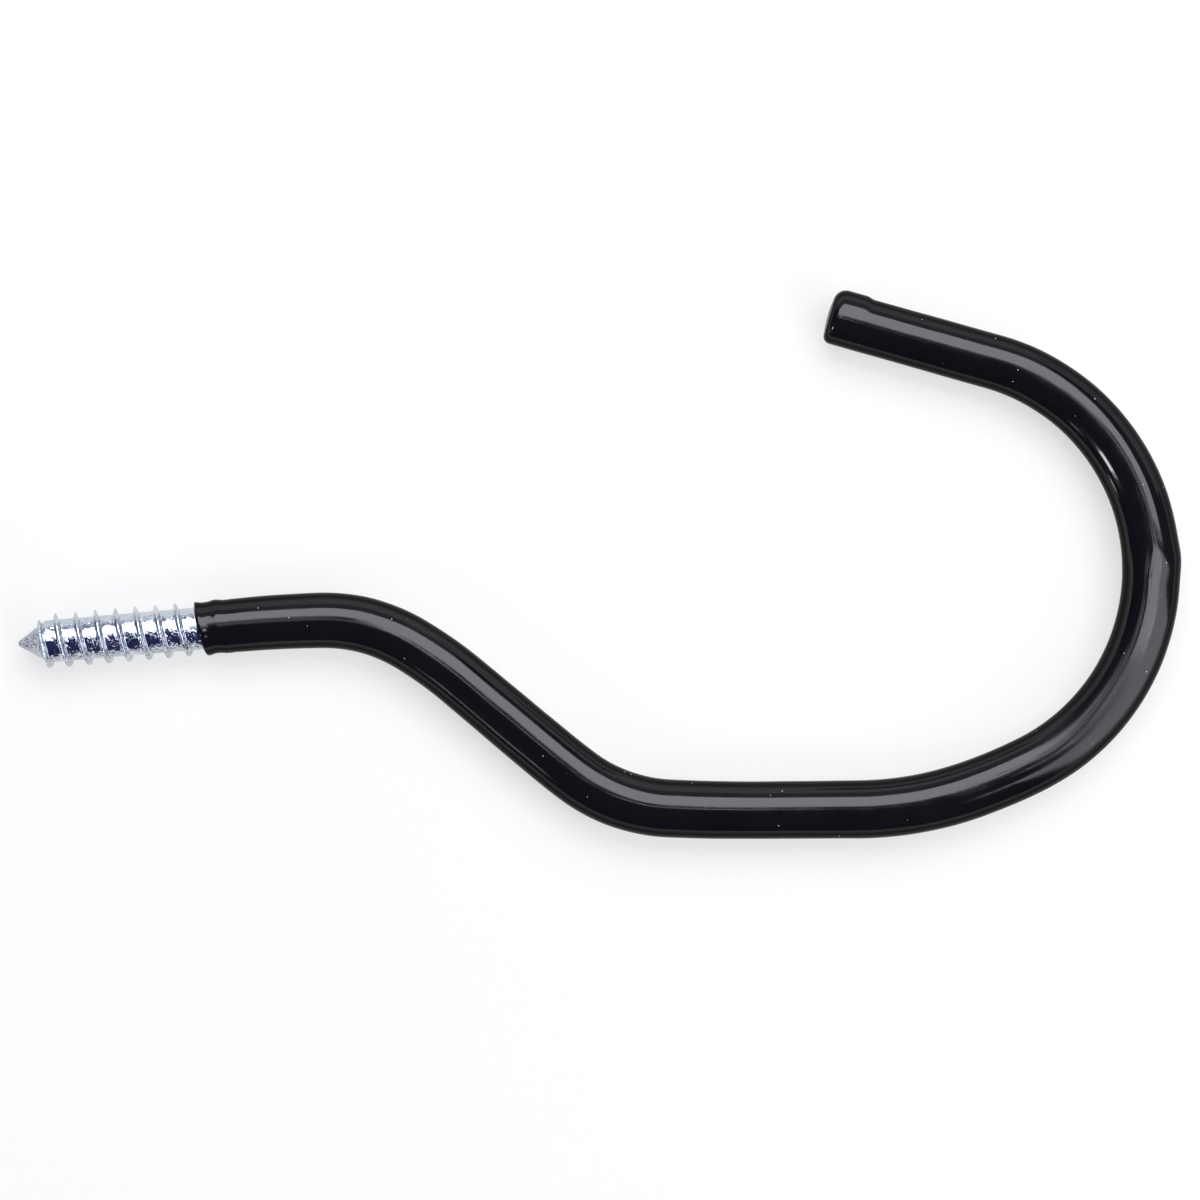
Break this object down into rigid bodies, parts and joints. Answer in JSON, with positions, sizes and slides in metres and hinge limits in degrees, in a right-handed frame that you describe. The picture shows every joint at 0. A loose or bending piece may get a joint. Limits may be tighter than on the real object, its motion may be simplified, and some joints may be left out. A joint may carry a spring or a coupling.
{
  "type": "bicycle storage hook",
  "caption": "Screw-in hook that holds a bicycle by its wheel: a steel rod with a wood-screw thread, bent into a wide open hook and dipped in black vinyl.",
  "frame": {"origin": "on the screw's axis, where the coating begins", "axes": "-X along the screw's axis into the wall, +Y in the hook's plane towards its open tip, +Z square to the hook's plane"},
  "size_m": [0.1703, 0.08, 0.0086],
  "materials": {
    "zinc_steel": "bright zinc plated, slightly crinkled",
    "black_vinyl": "glossy dipped coating"
  },
  "bodies": {
    "root": {"hook_rod": "zinc_steel", "vinyl_coating": "black_vinyl"}
  },
  "joints": []
}
